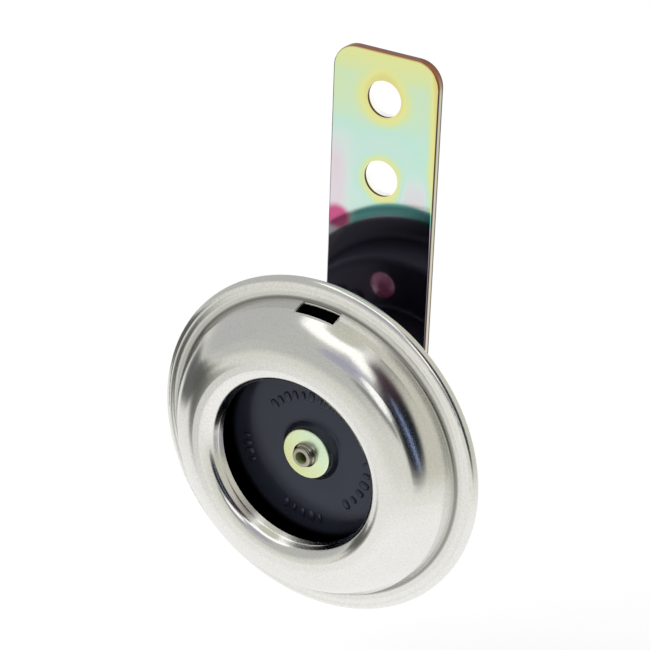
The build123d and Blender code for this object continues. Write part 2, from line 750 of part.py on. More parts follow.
NODES = {
    "front_cover": front_cover,
    "front_gasket": front_gasket,
    "diaphragm": diaphragm,
    "rear_gasket": rear_gasket,
    "front_washer": front_washer,
    "rear_washer": rear_washer,
    "armature": armature,
    "housing": housing,
    "pole_core": pole_core,
    "coil_bobbin": coil_bobbin,
    "coil_winding": coil_winding,
    "contact_block": contact_block,
    "lower_insulator": lower_insulator,
    "moving_contact_arm": moving_contact_arm,
    "middle_insulator": middle_insulator,
    "fixed_contact_arm": fixed_contact_arm,
    "upper_insulator": upper_insulator,
    "contact_rivets": contact_rivets,
    "moving_contact": moving_contact,
    "fixed_contact": fixed_contact,
    "screw_bush": screw_bush,
    "adjusting_screw": adjusting_screw,
    "screw_seal": screw_seal,
    "outer_terminal_insulator": outer_terminal_insulator,
    "inner_terminal_insulator": inner_terminal_insulator,
    "left_terminal": left_terminal,
    "right_terminal": right_terminal,
    "terminal_rivets": terminal_rivets,
    "live_lead": live_lead,
    "coil_lead": coil_lead,
    "return_lead": return_lead,
    "spacer_washer": spacer_washer,
    "bracket": bracket,
    "lock_washer": lock_washer,
    "stud_nut": stud_nut,
}

os.makedirs("parts", exist_ok=True)
for node, block in NODES.items():
    block.part.label = node
    export_step(block.part, f"parts/{node}.step")
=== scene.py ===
from math import cos, radians, sin, tau

import bpy
import numpy as np
from mathutils import Matrix, Vector


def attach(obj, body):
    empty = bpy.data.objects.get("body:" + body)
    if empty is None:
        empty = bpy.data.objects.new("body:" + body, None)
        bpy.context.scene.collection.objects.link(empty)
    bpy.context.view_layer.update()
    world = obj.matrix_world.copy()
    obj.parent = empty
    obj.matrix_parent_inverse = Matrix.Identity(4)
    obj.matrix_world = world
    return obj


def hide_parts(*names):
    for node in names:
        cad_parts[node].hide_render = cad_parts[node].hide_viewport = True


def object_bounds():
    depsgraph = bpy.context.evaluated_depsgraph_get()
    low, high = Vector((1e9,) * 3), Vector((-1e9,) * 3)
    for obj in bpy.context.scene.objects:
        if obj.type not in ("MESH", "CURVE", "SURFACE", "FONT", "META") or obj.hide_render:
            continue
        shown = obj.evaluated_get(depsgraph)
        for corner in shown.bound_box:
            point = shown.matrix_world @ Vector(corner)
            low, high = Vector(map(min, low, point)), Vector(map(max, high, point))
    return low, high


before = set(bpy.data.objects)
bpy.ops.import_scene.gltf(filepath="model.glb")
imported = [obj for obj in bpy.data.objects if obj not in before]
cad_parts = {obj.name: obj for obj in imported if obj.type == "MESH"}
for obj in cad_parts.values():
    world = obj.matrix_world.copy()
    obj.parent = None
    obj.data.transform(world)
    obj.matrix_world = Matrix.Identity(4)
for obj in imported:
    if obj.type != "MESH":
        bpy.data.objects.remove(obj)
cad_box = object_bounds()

# Camera. A long lens looks down on the horn from its front right, a little rolled.
CAMERA_PLACE = Vector((0.2025, -0.35521, 0.17058))
CAMERA_AZIMUTH = radians(31.17)
CAMERA_ELEVATION = radians(27.28)
CAMERA_ROLL = radians(1.94)
CAMERA_LENS = 130.69
CAMERA_SENSOR = 36
NEAREST_SEEN = 0.01

backward = Vector((
    sin(CAMERA_AZIMUTH) * cos(CAMERA_ELEVATION),
    -cos(CAMERA_AZIMUTH) * cos(CAMERA_ELEVATION),
    sin(CAMERA_ELEVATION),
))
level_right = Vector((cos(CAMERA_AZIMUTH), sin(CAMERA_AZIMUTH), 0))
level_up = backward.cross(level_right)
camera_right = level_right * cos(CAMERA_ROLL) + level_up * sin(CAMERA_ROLL)
camera_up = level_up * cos(CAMERA_ROLL) - level_right * sin(CAMERA_ROLL)
camera_turn = Matrix((camera_right, camera_up, backward)).transposed().to_4x4()
lens = bpy.data.cameras.new("camera")
lens.lens = CAMERA_LENS
lens.sensor_width = CAMERA_SENSOR
lens.clip_start = NEAREST_SEEN
camera = bpy.data.objects.new("camera", lens)
camera.matrix_world = Matrix.Translation(CAMERA_PLACE) @ camera_turn
bpy.context.collection.objects.link(camera)
bpy.context.scene.camera = camera
bpy.context.scene.view_settings.view_transform = "Standard"


class Wire:
    """A socket in a finish. Sums on it add Math nodes, as sums on numbers give numbers."""

    def __init__(self, finish, socket):
        self.finish = finish
        self.socket = socket

    def math(self, operation, *others):
        """What a Math node makes of this value and the others."""
        return self.finish.node("Math", {"operation": operation}, dict(enumerate((self, *others))))

    def axis(self, name):
        """One of the three numbers of a place or a direction."""
        return self.finish.node("SeparateXYZ", None, {"Vector": self}, output=name)

    def __add__(self, other):
        return self.math("ADD", other)

    def __sub__(self, other):
        return self.math("SUBTRACT", other)

    def __rsub__(self, other):
        return self.finish.node("Math", {"operation": "SUBTRACT"}, {0: other, 1: self})

    def __mul__(self, other):
        return self.math("MULTIPLY", other)

    def __truediv__(self, other):
        return self.math("DIVIDE", other)

    def __pow__(self, other):
        return self.math("POWER", other)

    def __abs__(self):
        return self.math("ABSOLUTE")

    __radd__ = __add__
    __rmul__ = __mul__


class Finish:
    """A material, or the room, whose nodes are added one by one round its shader."""

    def __init__(self, name, kind="BsdfPrincipled", owner=None, **constants):
        self.material = owner or bpy.data.materials.new(name)
        self.material.use_nodes = True
        self.tree = self.material.node_tree
        self.tree.nodes.clear()
        self.shader = self.node(kind)
        ending = "World" if owner else "Material"
        output = self.tree.nodes.new("ShaderNodeOutput" + ending)
        self.tree.links.new(self.shader.socket, output.inputs["Surface"])
        for socket, value in constants.items():
            self.shader.socket.node.inputs[socket.replace("_", " ")].default_value = value

    def node(self, kind, settings=None, inputs=None, output=0):
        """Adds a node: its settings come first, then the values or links of its sockets."""
        node = self.tree.nodes.new("ShaderNode" + kind)
        for name, value in (settings or {}).items():
            if name == "stops":
                ends = node.color_ramp.elements
                ends[0].position, ends[0].color = value[0][0], (*value[0][1], 1)
                ends[1].position, ends[1].color = value[-1][0], (*value[-1][1], 1)
                for place, colour in value[1:-1]:
                    ends.new(place).color = (*colour, 1)
            else:
                setattr(node, name, value)
        for name, value in (inputs or {}).items():
            if isinstance(value, Wire):
                self.tree.links.new(value.socket, node.inputs[name])
            else:
                node.inputs[name].default_value = value
        return Wire(self, node.outputs[output])

    def feed(self, **wires):
        """Links varying values to the shader's sockets."""
        for name, wire in wires.items():
            self.tree.links.new(wire.socket, self.shader.socket.node.inputs[name.replace("_", " ")])

    def layer(self, share, under, over):
        """Shows one shader through another, by a share from 0 to 1."""
        for socket, wire in enumerate((share, under, over)):
            self.tree.links.new(wire.socket, self.shader.socket.node.inputs[socket])

    def looked_at(self):
        """1 for rays from the camera, off polish or through glass, 0 for spreading light."""
        camera_ray, polish_ray, glass_ray = (
            self.node("LightPath", output=name)
            for name in ("Is Camera Ray", "Is Glossy Ray", "Is Transmission Ray")
        )
        return camera_ray + polish_ray + glass_ray

    def place(self):
        """Where the surface is, in metres from the frame's origin."""
        return self.node("TexCoord", output="Object")

    def noise(self, where, scale, detail=3.0, roughness=0.5):
        """Cloudy values from 0 to 1, with about this many clouds to a metre."""
        inputs = {"Vector": where, "Scale": scale, "Detail": detail, "Roughness": roughness}
        return self.node("TexNoise", None, inputs)

    def fade(self, value, low, high, start=0.0, end=1.0):
        """Goes smoothly from start, where the value is low, to end, where it is high."""
        inputs = {"Value": value, 1: low, 2: high, 3: start, 4: end}
        return self.node("MapRange", {"interpolation_type": "SMOOTHSTEP"}, inputs)

    def mix(self, share, first, second):
        """One colour turning into another as the share goes from 0 to 1."""
        opaque = [c if isinstance(c, Wire) else (*c, 1) for c in (first, second)]
        inputs = {0: share, 6: opaque[0], 7: opaque[1]}
        return self.node("Mix", {"data_type": "RGBA"}, inputs, output=2)

    def ramp(self, value, stops):
        """Colour for a value from 0 to 1."""
        return self.node("ValToRGB", {"stops": stops}, {0: value})

    def relief(self, height, depth):
        """Bumps this deep, in metres, where the height goes from 0 to 1."""
        self.feed(Normal=self.node("Bump", None, {"Distance": depth, "Height": height}))


# Studio. A pale floor under the hanging horn and an even white room. The camera sees them as white
# (the floor is hidden from polished metal, which sees the tent), and the floor takes the horn's
# shadow, which fades into the white.
FLOOR_DROP = 0.03
FLOOR_SIZE = 4.0
FLOOR_COLOUR = (0.9, 0.9, 0.9, 1)
SHADOW_NEAR = 0.25
SHADOW_FAR = 0.9
NEAR_WHITE = 0.8
WHITE = (1, 1, 1, 1)
ROOM_LIGHT = 0.45

half_floor = FLOOR_SIZE / 2
floor_level = cad_box[0][2] - FLOOR_DROP
floor_corners = [
    (x * half_floor, y * half_floor, floor_level) for x, y in ((-1, -1), (1, -1), (1, 1), (-1, 1))
]
floor_mesh = bpy.data.meshes.new("floor")
floor_mesh.from_pydata(floor_corners, [], [(0, 1, 2, 3)])
floor = bpy.data.objects.new("floor", floor_mesh)
bpy.context.collection.objects.link(floor)
floor_paint = Finish("floor_paint", "MixShader")
place = floor_paint.place()
from_horn = floor_paint.node("VectorMath", {"operation": "LENGTH"}, {0: place}, output="Value")
floor_paint.layer(
    floor_paint.looked_at() * floor_paint.fade(from_horn, SHADOW_NEAR, SHADOW_FAR, NEAR_WHITE, 1.0),
    floor_paint.node("BsdfDiffuse", None, {"Color": FLOOR_COLOUR}),
    floor_paint.node("Emission", None, {"Color": WHITE, "Strength": 1.0}),
)
floor_mesh.materials.append(floor_paint.material)

world = bpy.data.worlds.new("room")
bpy.context.scene.world = world
room = Finish("room", "MixShader", world)
room.layer(
    room.looked_at(),
    room.node("Background", None, {"Color": WHITE, "Strength": ROOM_LIGHT}),
    room.node("Background", None, {"Color": WHITE, "Strength": 1.0}),
)


def soft_lamp(name, place, target, width, height, watts):
    """A rectangular soft box at place, turned to target. Polished metal sees the tent instead."""
    light = bpy.data.lights.new(name, "AREA")
    light.shape = "RECTANGLE"
    light.size = width
    light.size_y = height
    light.energy = watts
    lamp = bpy.data.objects.new(name, light)
    aim = (Vector(target) - Vector(place)).to_track_quat("-Z", "Y")
    lamp.matrix_world = Matrix.Translation(place) @ aim.to_matrix().to_4x4()
    lamp.visible_glossy = False
    bpy.context.collection.objects.link(lamp)


MIDDLE_OF_HORN = (0, -0.02, -0.05)
soft_lamp("key_box", (-0.55, -0.5, 0.85), MIDDLE_OF_HORN, 0.5, 0.5, 9)
soft_lamp("fill_box", (0.8, -0.5, 0.35), MIDDLE_OF_HORN, 0.6, 0.6, 3)
soft_lamp("back_box", (0.2, 0.9, 0.7), MIDDLE_OF_HORN, 0.7, 0.4, 5)


# Tent round the horn, which only polished metal sees. It is pale below and grey above, and carries
# strip lights, a window, a dark panel with a bright slit in it, and dark streaks to the left.
TENT_RADIUS = 1.6
TENT_AROUND = 96
TENT_LEVELS = 60
TENT_POLE = 89  # degrees above level where the rings of the tent end
PATCH_POWER = 3.0
PATCH_FADE = (0.25, 1.9)

# Patches on the tent: turn from the front, rise, half width, half height and lean, in degrees
TENT_CARDS = (
    (7, 42, 24, 13, 0, (0.40, 0.40, 0.48)),
    (17, 13, 17, 5, -34, (0.24, 0.24, 0.23)),
    (26, 27, 9, 13, 20, (1.15, 1.15, 1.15)),
    (-25, 67, 85, 8, 0, (1.25, 1.25, 1.2)),
    (26, 57, 20, 7, -32, (1.25, 1.25, 1.2)),
)
TENT_STREAKS = (
    (-84, -14, 31, 8.5, 0, (0.13, 0.13, 0.13)),
    (-55, -19, 20, 6, -28, (0.10, 0.10, 0.09)),
)
TENT_PANEL = (55, 24, 18, 40, 0)
TENT_SLIT = (56, 12, 0.9, 24, 17)


def direction(turn, rise):
    """Unit vectors at an angle round from the front towards +X and an angle above level."""
    level = np.cos(rise)
    return np.stack([np.sin(turn) * level, -np.cos(turn) * level, np.sin(rise)], axis=-1)


turn_steps = np.linspace(0, tau, TENT_AROUND, endpoint=False)
rise_steps = np.radians(np.linspace(-TENT_POLE, TENT_POLE, TENT_LEVELS))
tent_points = direction(*np.meshgrid(turn_steps, rise_steps)) * TENT_RADIUS
tent_points = tent_points + np.array(MIDDLE_OF_HORN)
steps_round = np.arange(TENT_AROUND)
ring_starts = np.arange(TENT_LEVELS - 1)[:, None] * TENT_AROUND
corner = ring_starts + steps_round
after = ring_starts + np.roll(steps_round, -1)
tent_faces = np.stack([corner, after, after + TENT_AROUND, corner + TENT_AROUND], axis=-1)
tent_mesh = bpy.data.meshes.new("tent")
tent_mesh.from_pydata(tent_points.reshape(-1, 3), [], tent_faces.reshape(-1, 4).tolist())
tent = bpy.data.objects.new("tent", tent_mesh)
bpy.context.collection.objects.link(tent)
tent.visible_camera = False
tent.visible_diffuse = False
tent.visible_shadow = False
tent.visible_transmission = False
floor.visible_glossy = False

tent_finish = Finish(
    "tent", Base_Color=(0, 0, 0, 1), Specular_IOR_Level=0.0, Roughness=1.0, Emission_Strength=1.0
)
place = tent_finish.place()
sideways = place.axis("X")
backwards = place.axis("Y") - MIDDLE_OF_HORN[1]
upwards = (place.axis("Z") - MIDDLE_OF_HORN[2]) / TENT_RADIUS
turn_of = sideways.math("ARCTAN2", backwards * -1.0) * (360 / tau)
rise_of = upwards.math("ARCSINE") * (360 / tau)


def patch(turn, rise, half_wide, half_high, lean):
    """1 inside a soft-edged patch of the tent, 0 outside: fades with |across|^3 + |upright|^3."""
    beside = turn_of - turn
    above = rise_of - rise
    across = (beside * cos(radians(lean)) + above * sin(radians(lean))) / half_wide
    upright = (above * cos(radians(lean)) - beside * sin(radians(lean))) / half_high
    off_middle = abs(across) ** PATCH_POWER + abs(upright) ** PATCH_POWER
    return tent_finish.fade(off_middle, *PATCH_FADE, 1.0, 0.0)


tone = tent_finish.mix(tent_finish.fade(rise_of, -44, -10), (0.97, 0.965, 0.95), (0.75, 0.75, 0.69))
tone = tent_finish.mix(tent_finish.fade(rise_of, -8, 20), tone, (0.53, 0.53, 0.51))
far_left = tent_finish.fade(turn_of, -35, -70) * tent_finish.fade(rise_of, -10, 4)
tone = tent_finish.mix(far_left, tone, (0.51, 0.51, 0.505))
for *card, colour in TENT_CARDS:
    tone = tent_finish.mix(patch(*card), tone, colour)
tone = tent_finish.mix(tent_finish.fade(rise_of, 73, 82), tone, (0.58, 0.58, 0.48))
far_right = tent_finish.fade(turn_of, 66, 76) * tent_finish.fade(rise_of, -25, -8)
tone = tent_finish.mix(far_right, tone, (0.62, 0.61, 0.53))
panel_top = tent_finish.fade(rise_of, 20, 50)
panel = tent_finish.mix(panel_top, (0.008, 0.012, 0.015), (0.055, 0.030, 0.040))
panel = tent_finish.mix(patch(*TENT_SLIT), panel, (0.46, 0.56, 0.92))
tone = tent_finish.mix(patch(*TENT_PANEL), tone, panel)
for *streak, colour in TENT_STREAKS:
    tone = tent_finish.mix(patch(*streak), tone, colour)
tent_finish.feed(Emission_Color=tone)
tent_mesh.materials.append(tent_finish.material)


# Front cover. One disc of thin sheet steel, drawn to a dome with a rolled mouth, plated bright and
# satin, and folded round the edge of the pack. Drawing leaves rings on the brim, and the back of
# the fold is dark where the housing's enamel has run on to it.
AXIS_UP = -0.0565
MOUTH_RADIUS = 0.0179
LIP_RADIUS = 0.0187
CROWN_START = 0.0245
CROWN_TOP = 0.0283
CROWN_END = 0.0306
BRIM_RADIUS = 0.0303
CREASE_RADIUS = 0.0310  # where the foot of the dome meets the brim
FOOT_WEAR_RADIUS = 0.0312
FOLD_RADIUS = 0.0314
DIPPED_RADIUS = 0.0320
SOFT_EDGE = 0.0003
RING_PITCH = 0.00125
PRESSED_DEPTH = 0.00062
SLOT_RIGHT = 0.0011
SLOT_ALONG = -0.024735
SLOT_HALF_WIDE = 0.0041
SLOT_HALF_DEEP = 0.001465
BURR_WIDTH = 0.00035
CURL_START = -0.0311  # where the lip stops turning and runs on straight
CURL_LENGTH = 0.0013
CURL_SLOPE = 0.53
cover_finish = Finish("cover_plating", Metallic=1.0)


def off_axis(place):
    """Distance from the horn's axis."""
    right = place.axis("X")
    up = place.axis("Z") - AXIS_UP
    return (right * right + up * up) ** 0.5


def round_axis(place):
    """Turn about the horn's axis, in radians from straight up towards +X."""
    return place.axis("X").math("ARCTAN2", place.axis("Z") - AXIS_UP)


def dress(finish, *names):
    """Gives CAD nodes their finish."""
    for name in names:
        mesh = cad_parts[name].data
        mesh.materials.clear()
        mesh.materials.append(finish.material)
        mesh.polygons.foreach_set("material_index", np.zeros(len(mesh.polygons), dtype=np.int32))


place = cover_finish.place()
radius = off_axis(place)
turn = round_axis(place)
along = place.axis("Y")
clouds = cover_finish.noise(place, 45, 4)
grain = cover_finish.noise(place, 7000, 2)
satin = cover_finish.noise(place, 2600, 2, 0.7)
drawn_out = cover_finish.node("Mapping", None, {"Vector": place, "Scale": (1, 1, 0.08)})
streaks = cover_finish.noise(drawn_out, 5000, 2)
crease_shade = cover_finish.fade(abs(radius - CREASE_RADIUS), 0.0001, 0.0006, 1.0, 0.0)
worn_foot = cover_finish.fade(abs(radius - FOOT_WEAR_RADIUS), 0.0006, 0.0013, 1.0, 0.0)

# Painted shade: the inner side of the sheet under the dome is painted near black; the back of the
# fold is dark too
normal = cover_finish.node("NewGeometry", output="Normal")
facing_front = normal.axis("Y") * -1.0
facing_out = normal.axis("X") * turn.math("SINE") + normal.axis("Z") * turn.math("COSINE")
inner_side = cover_finish.fade(facing_front + facing_out * 0.5, -0.2, 0.2, 1.0, 0.0)
under_dome = cover_finish.fade(radius, MOUTH_RADIUS, MOUTH_RADIUS + SOFT_EDGE)
under_dome = under_dome * cover_finish.fade(radius, FOLD_RADIUS, FOLD_RADIUS + SOFT_EDGE, 1.0, 0.0)
inner_shade = inner_side * under_dome
back_of_fold = cover_finish.fade(facing_front, -0.75, -0.45, 1.0, 0.0)
dipped = back_of_fold * cover_finish.fade(radius, DIPPED_RADIUS, DIPPED_RADIUS + SOFT_EDGE)

tone = cover_finish.mix(clouds, (0.82, 0.815, 0.79), (0.94, 0.94, 0.925))
tone = cover_finish.mix(cover_finish.fade(satin, 0.35, 0.68) * 0.28, tone, (0.64, 0.63, 0.60))
# Painted shade: a dark line along the crease where the dome's foot meets the brim
tone = cover_finish.mix(crease_shade * 0.8, tone, (0.22, 0.21, 0.18))
tone = cover_finish.mix(inner_shade, tone, (0.006, 0.006, 0.007))
tone = cover_finish.mix(dipped, tone, (0.36, 0.37, 0.37))
polish = 0.08 + clouds * 0.06 + satin * 0.05 + worn_foot * 0.18
cover_finish.feed(Base_Color=tone, Roughness=polish + inner_shade * 0.4 + dipped * 0.2)

# Pressed relief: a crowned dome, a brim that droops a little and carries rings, a burr round the
# slot, and the lip's straight end leaning outwards
crown = cover_finish.fade(radius, CROWN_START, CROWN_TOP)
crown = crown - cover_finish.fade(radius, CROWN_TOP, CROWN_END) * 0.5
droop = cover_finish.fade(radius, 0.0310, 0.0345)
brim = cover_finish.fade(radius, 0.0304, 0.0318)
rings = (radius * (tau / RING_PITCH) + clouds * 2.0).math("SINE") * brim
off_side = abs(place.axis("X") - SLOT_RIGHT) - SLOT_HALF_WIDE
off_end = abs(along - SLOT_ALONG) - SLOT_HALF_DEEP
burr = cover_finish.fade(off_side.math("MAXIMUM", off_end), 0.0, BURR_WIDTH, 1.0, 0.0)
burr = burr * cover_finish.fade(abs(turn), 0.3, 0.35, 1.0, 0.0)
burr = burr * cover_finish.fade(radius, BRIM_RADIUS, BRIM_RADIUS + SOFT_EDGE, 1.0, 0.0)
past_curl = (along - CURL_START).math("MAXIMUM", 0.0)
in_curl = past_curl.math("MINIMUM", CURL_LENGTH)
lean = in_curl * in_curl * (CURL_SLOPE / CURL_LENGTH / 2) + (past_curl - in_curl) * CURL_SLOPE
lean = lean * (1 / PRESSED_DEPTH)
lean = lean * cover_finish.fade(radius, LIP_RADIUS - SOFT_EDGE, LIP_RADIUS, 1.0, 0.0)
pressed = crown - droop * 0.2 + rings * 0.02 + burr * 0.25 + lean
cover_finish.relief(pressed + grain * 0.003 + satin * 0.004 + streaks * 0.002, PRESSED_DEPTH)
dress(cover_finish, "front_cover")


# Diaphragm. A disc of spring steel with a dished floor and a raised boss, enamelled black, and
# clamped with its gaskets inside the fold. Under the cover it is painted darker than in the mouth:
# painted shade from the cover.
SHADE = (0.0170, 0.0190)  # distances from the axis between which the cover starts to shade it
diaphragm_finish = Finish(
    "diaphragm_enamel", Specular_IOR_Level=0.55, Specular_Tint=(0.72, 0.80, 1.0, 1.0)
)
place = diaphragm_finish.place()
clouds = diaphragm_finish.noise(place, 90, 4)
peel = diaphragm_finish.noise(place, 900, 2)
dust = diaphragm_finish.noise(place, 5200, 3, 0.7)
shaded = diaphragm_finish.fade(off_axis(place), *SHADE)
tone = diaphragm_finish.mix(clouds, (0.012, 0.013, 0.020), (0.024, 0.027, 0.040))
dusty = diaphragm_finish.fade(dust, 0.66, 0.80) * 0.25
tone = diaphragm_finish.mix(dusty, tone, (0.10, 0.10, 0.11))
# Painted shade: near black where the cover hangs over the sheet
tone = diaphragm_finish.mix(shaded, tone, (0.001, 0.001, 0.001))
polish = 0.11 + clouds * 0.10 + dust * 0.06
diaphragm_finish.feed(Base_Color=tone, Metallic=shaded, Roughness=polish)
diaphragm_finish.relief(peel * 0.7 + dust * 0.3, 0.00002)
dress(diaphragm_finish, "diaphragm")

gasket_finish = Finish("gasket_board")
fibres = gasket_finish.noise(gasket_finish.place(), 3000, 4, 0.7)
tone = gasket_finish.mix(fibres, (0.42, 0.34, 0.24), (0.60, 0.52, 0.40))
gasket_finish.feed(Base_Color=tone, Roughness=0.75 + fibres * 0.2)
gasket_finish.relief(fibres, 0.00003)
dress(gasket_finish, "front_gasket", "rear_gasket")


# Raised marks. Coining left rows of small blank pads on the floor of the diaphragm, round its boss.
# Each is half of a superellipsoid, |x/a|^n + |y/b|^n + |z/c|^n = 1, sunk a little into the sheet.
PAD_ROWS = (  # radius, first turn, last turn, count
    (0.0112, -50.0, 36.0, 10),
    (0.0124, 88.0, 140.0, 6),
    (0.0146, 171.0, 202.0, 5),
    (0.0149, 244.0, 264.0, 4),
)
PAD_SIZES = (1.0, 0.72, 1.12, 0.85, 0.62)
PAD_HALF_WIDE = 0.00062
PAD_HALF_HIGH = 0.00105
PAD_RISE = 0.00038
PAD_POWER = 2.6
PAD_LEVELS = (-30, -15, 0, 15, 30, 45, 60, 75, 86)
PAD_AROUND = 20
FLOOR_FORWARD = 0.0236


def skin(name, rings, finish, sharp=35.0):
    """Closed skins over rings of points, given as copies x rings x points x 3.

    Each ring joins the next one, point by point, and a fan about its middle closes each end.
    """
    copies, count, around, _ = rings.shape
    ends = rings[:, (0, -1)].mean(axis=2)
    points = np.concatenate([rings.reshape(copies, -1, 3), ends], axis=1)
    near = np.arange(around)
    near_after = np.roll(near, -1)
    ring_starts = np.arange(count - 1)[:, None] * around
    first = ring_starts + near
    after = ring_starts + near_after
    sides = np.stack([first, after, after + around, first + around], axis=-1).reshape(-1, 4)
    last = (count - 1) * around
    start_fan = np.stack([near_after, near, np.full(around, count * around)], axis=-1)
    end_middle = np.full(around, count * around + 1)
    end_fan = np.stack([near + last, near_after + last, end_middle], axis=-1)
    faces = []
    for copy in range(copies):
        shift = copy * points.shape[1]
        for group in (sides, start_fan, end_fan):
            faces.extend((group + shift).tolist())
    mesh = bpy.data.meshes.new(name)
    mesh.from_pydata(points.reshape(-1, 3), [], faces)
    mesh.shade_smooth()
    mesh.set_sharp_from_angle(angle=radians(sharp))
    mesh.materials.append(finish.material)
    piece = bpy.data.objects.new(name, mesh)
    bpy.context.collection.objects.link(piece)
    return piece


def signed_power(value):
    """The superellipse's rounding, |v|^(2/n) with the sign of v."""
    return np.sign(value) * np.abs(value) ** (2 / PAD_POWER)


pad_places = np.array([
    (row_radius, radians(turn))
    for row_radius, first_turn, last_turn, count in PAD_ROWS
    for turn in np.linspace(first_turn, last_turn, count)
])
pad_turn = pad_places[:, 1, None, None]
pad_size = np.resize(PAD_SIZES, len(pad_places))[:, None, None]
level = np.radians(PAD_LEVELS)
round_pad = np.linspace(0, tau, PAD_AROUND, endpoint=False)
pad_belt = signed_power(np.cos(level))[None, :, None]
across_pad = PAD_HALF_WIDE * pad_size * pad_belt * signed_power(np.cos(round_pad))
along_pad = PAD_HALF_HIGH * (0.5 + pad_size / 2) * pad_belt * signed_power(np.sin(round_pad))
pad_radius = pad_places[:, 0, None, None] + along_pad
pad_forward = PAD_RISE * signed_power(np.sin(level))[None, :, None]
pad_rings = np.stack([
    pad_radius * np.sin(pad_turn) + across_pad * np.cos(pad_turn),
    np.broadcast_to(-FLOOR_FORWARD - pad_forward, pad_radius.shape),
    AXIS_UP + pad_radius * np.cos(pad_turn) - across_pad * np.sin(pad_turn),
], axis=-1)
pads = skin("raised_marks", pad_rings[:, :, ::-1], diaphragm_finish, 60.0)
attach(pads, "root")


# Washers and small steel parts, turned or punched from steel and zinc plated. The passivated film
# on the washer under the rivet is thick enough to show colours.
TURNING_DEPTH = 0.000008
BORE_RADIUS = 0.00122
BORE_EDGE = 0.00128
BORE_END = -0.0240
BORE_FADE = 0.0004


def zinc_plate(name, pale, deep, roughness):
    """Plated steel: two tones in clouds, with fine turning marks and specks."""
    finish = Finish(name, Metallic=1.0)
    place = finish.place()
    clouds = finish.noise(place, 260, 3)
    grain = finish.noise(place, 6500, 2)
    finish.feed(Base_Color=finish.mix(clouds, pale, deep), Roughness=roughness + grain * 0.14)
    finish.relief(grain, TURNING_DEPTH)
    return finish


steel_finish = zinc_plate("plated_steel", (0.80, 0.79, 0.75), (0.62, 0.61, 0.57), 0.22)
dress(steel_finish, "rear_washer", "adjusting_screw", "terminal_rivets")
dress(steel_finish, "spacer_washer", "lock_washer")

turned_finish = Finish("turned_steel")
place = turned_finish.place()
radius = off_axis(place)
along = place.axis("Y")
grain = turned_finish.noise(place, 6500, 2)
bands = turned_finish.noise(turned_finish.node("CombineXYZ", None, {0: along, 1: radius}), 1500, 2)
# Painted shade in the bore at the front: a dim, flat olive in place of bright steel
bore_shade = turned_finish.fade(radius, BORE_RADIUS, BORE_EDGE, 1.0, 0.0)
bore_shade = bore_shade * turned_finish.fade(along, BORE_END, BORE_END + BORE_FADE, 1.0, 0.0)
dull = turned_finish.fade(bands, 0.4, 0.62)
tone = turned_finish.mix(dull, (0.50, 0.47, 0.40), (0.24, 0.22, 0.18))
tone = turned_finish.mix(bore_shade, tone, (0.17, 0.20, 0.085))
turned_finish.feed(Base_Color=tone, Roughness=0.12 + grain * 0.12, Metallic=1.0 - bore_shade)
turned_finish.relief(grain, TURNING_DEPTH)
dress(turned_finish, "armature", "contact_block")

FILM_TURN = 0.7
washer_finish = Finish("washer_plating", Metallic=1.0)
place = washer_finish.place()
grain = washer_finish.noise(place, 6500, 2)
swing = (round_axis(place) + FILM_TURN).math("SINE")
film = washer_finish.noise(place, 160, 2) * 0.5 + swing * 0.28 + 0.28
tone = washer_finish.ramp(
    film,
    (
        (0.0, (0.80, 0.80, 0.34)),
        (0.35, (0.86, 0.93, 0.54)),
        (0.65, (0.86, 1.0, 0.68)),
        (1.0, (0.76, 0.98, 0.84)),
    ),
)
washer_finish.feed(Base_Color=tone, Roughness=0.20 + grain * 0.12)
washer_finish.relief(grain, TURNING_DEPTH)
dress(washer_finish, "front_washer")


# Housing. A cup drawn in two tiers from sheet steel, dipped in black enamel and stoved. The enamel
# has a slight peel and a few chips.
enamel_finish = Finish("housing_enamel", Specular_IOR_Level=0.3)
place = enamel_finish.place()
peel = enamel_finish.noise(place, 700, 2)
clouds = enamel_finish.noise(place, 60, 4)
specks = enamel_finish.noise(place, 4200, 2)
chips = enamel_finish.fade(enamel_finish.noise(place, 620, 5, 0.7), 0.70, 0.74)
tone = enamel_finish.mix(clouds, (0.006, 0.006, 0.008), (0.014, 0.014, 0.018))
tone = enamel_finish.mix(chips * 0.5, tone, (0.16, 0.15, 0.14))
enamel_finish.feed(Base_Color=tone, Roughness=0.28 + clouds * 0.14 + specks * 0.05)
enamel_finish.relief(peel * 0.8 + specks * 0.2, 0.00003)
dress(enamel_finish, "housing", "contact_rivets")


# Pole core and stud, turned in one piece from iron, and threaded M8 where it leaves the housing.
# The skin is the core's outline turned about the axis, with a groove cut by the turn and the place.
PITCH = 0.00125
THREAD_DEPTH = 0.00068
GROOVE_FLAT = 1.15
GROOVE_SLOPE = 2.6
ROOT_RADIUS = 0.0032
THREAD_START = -0.0184
RIM_BACK = -0.0218
STUD_AROUND = 72
core_outline = np.array([  # radius and place in front of the rim's middle
    (0.0055, -0.005),
    (0.006, -0.0055),
    (0.006, -0.017),
    (0.008, -0.017),
    (0.008, -0.018),
    (0.004, -0.018),
    (0.004, -0.0308),
    (0.0032, -0.0316),
])
SHOULDER = 5  # the outline's point where the stud starts

